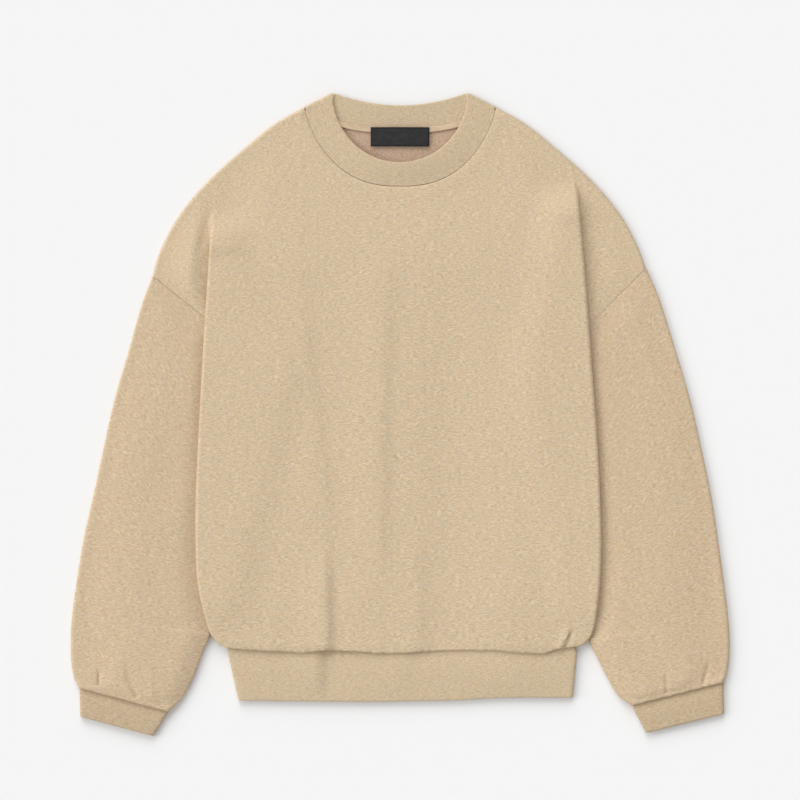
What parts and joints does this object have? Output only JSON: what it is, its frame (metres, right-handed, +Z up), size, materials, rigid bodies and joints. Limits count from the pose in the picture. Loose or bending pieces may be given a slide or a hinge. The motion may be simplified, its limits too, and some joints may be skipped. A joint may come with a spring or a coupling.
{
  "type": "crewneck sweatshirt",
  "caption": "Oversized crewneck sweatshirt in brushed fleece, laid flat, with dropped shoulders and rib collar, cuffs and hem.",
  "frame": {"origin": "middle of the bounding box at the flat surface that the garment lies on", "axes": "+X towards the wearer's left sleeve, +Y from hem to neck, +Z up from the surface, out of the front"},
  "size_m": [0.7638, 0.7464, 0.0168],
  "materials": {
    "fleece": "heather oatmeal, brushed and matt",
    "fleece_inside": "inside of the fleece, tan and matt",
    "rib": "fine rib knit, a little darker than the fleece",
    "tape": "flat woven tape",
    "label": "plain black woven label"
  },
  "bodies": {
    "root": {"front": "fleece", "back": "fleece_inside", "sleeve_right": "fleece", "sleeve_left": "fleece", "neck_rib": "rib", "hem_rib": "rib", "cuff_right": "rib", "cuff_left": "rib", "neck_tape": "tape", "neck_label": "label"}
  },
  "joints": []
}
